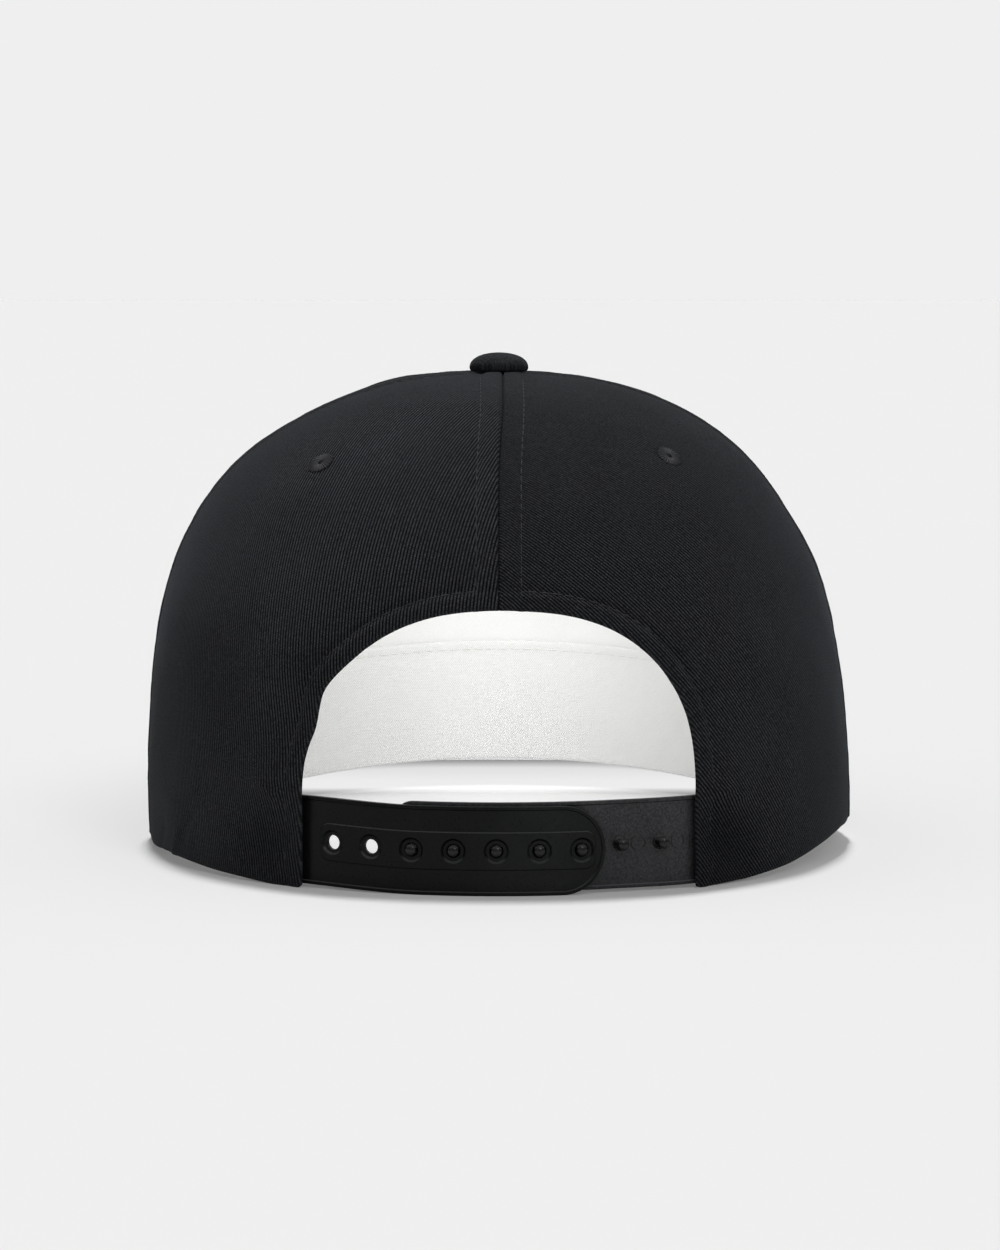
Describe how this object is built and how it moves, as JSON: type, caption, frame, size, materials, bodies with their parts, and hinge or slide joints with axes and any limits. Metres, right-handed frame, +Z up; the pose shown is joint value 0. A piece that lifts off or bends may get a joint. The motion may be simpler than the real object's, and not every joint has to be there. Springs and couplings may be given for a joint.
{
  "type": "snapback cap",
  "caption": "Snapback cap: a panelled cloth crown with a covered button, an arched rear opening over a fastened plastic snap strap, a sweatband and a flat-brimmed visor.",
  "frame": {"origin": "on the surface that the cap rests on, under the middle of the box around the whole cap", "axes": "+Z up, +Y towards the back of the cap where the strap is, -Y towards the visor, +X towards the wearer's left"},
  "size_m": [0.186, 0.265, 0.1241],
  "materials": {
    "twill": "matt woven",
    "thread": "satin",
    "band_cloth": "matt woven",
    "strap_plastic": "semi-gloss",
    "peg_plastic": "satin"
  },
  "bodies": {
    "root": {"front_panel": "twill", "side_panel_left": "twill", "side_panel_right": "twill", "rear_panel_left": "twill", "rear_panel_right": "twill", "eyelet_rear_left": "thread", "eyelet_rear_right": "thread", "eyelet_side_left": "thread", "eyelet_side_right": "thread", "button": "twill", "visor": "twill", "sweatband": "band_cloth", "hole_strap": "strap_plastic", "peg_strap": "peg_plastic"}
  },
  "joints": []
}
